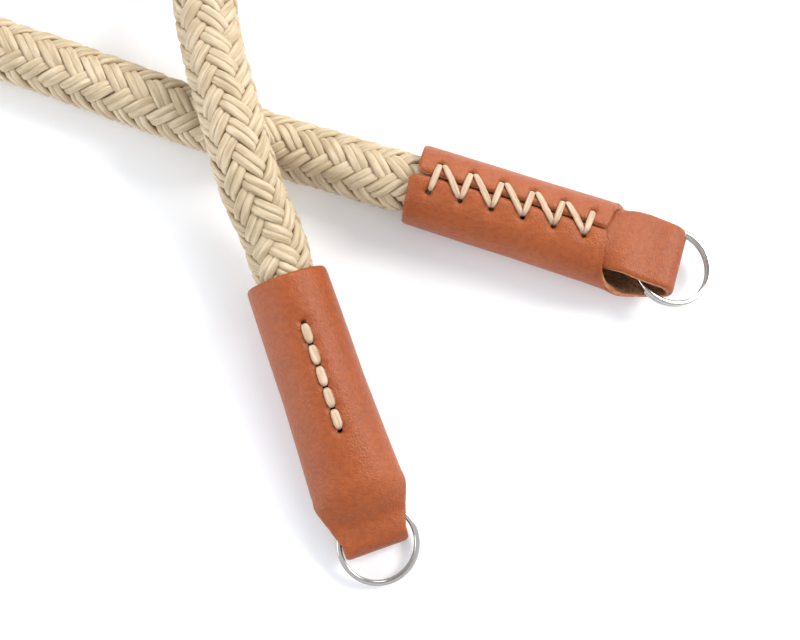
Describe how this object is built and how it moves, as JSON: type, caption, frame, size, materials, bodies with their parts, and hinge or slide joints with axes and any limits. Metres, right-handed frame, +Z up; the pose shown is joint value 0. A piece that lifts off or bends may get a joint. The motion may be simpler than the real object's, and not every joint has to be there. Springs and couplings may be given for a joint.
{
  "type": "camera strap",
  "caption": "Camera strap of thick braided rope with laced leather end sleeves, each folded round a small metal split ring, lying coiled on a flat surface",
  "frame": {"origin": "on the surface it lies on, under the middle of the box round the two leather ends and their rings", "axes": "+X to the right and +Y away from the viewer along the surface, +Z up"},
  "size_m": [0.1583, 0.2573, 0.0223],
  "materials": {
    "rope": "matte braid",
    "leather": "satin",
    "ring": "polished"
  },
  "bodies": {
    "root": {"rope": "rope", "leather_end_a": "leather", "leather_end_b": "leather", "ring_a": "ring", "ring_b": "ring"}
  },
  "joints": []
}
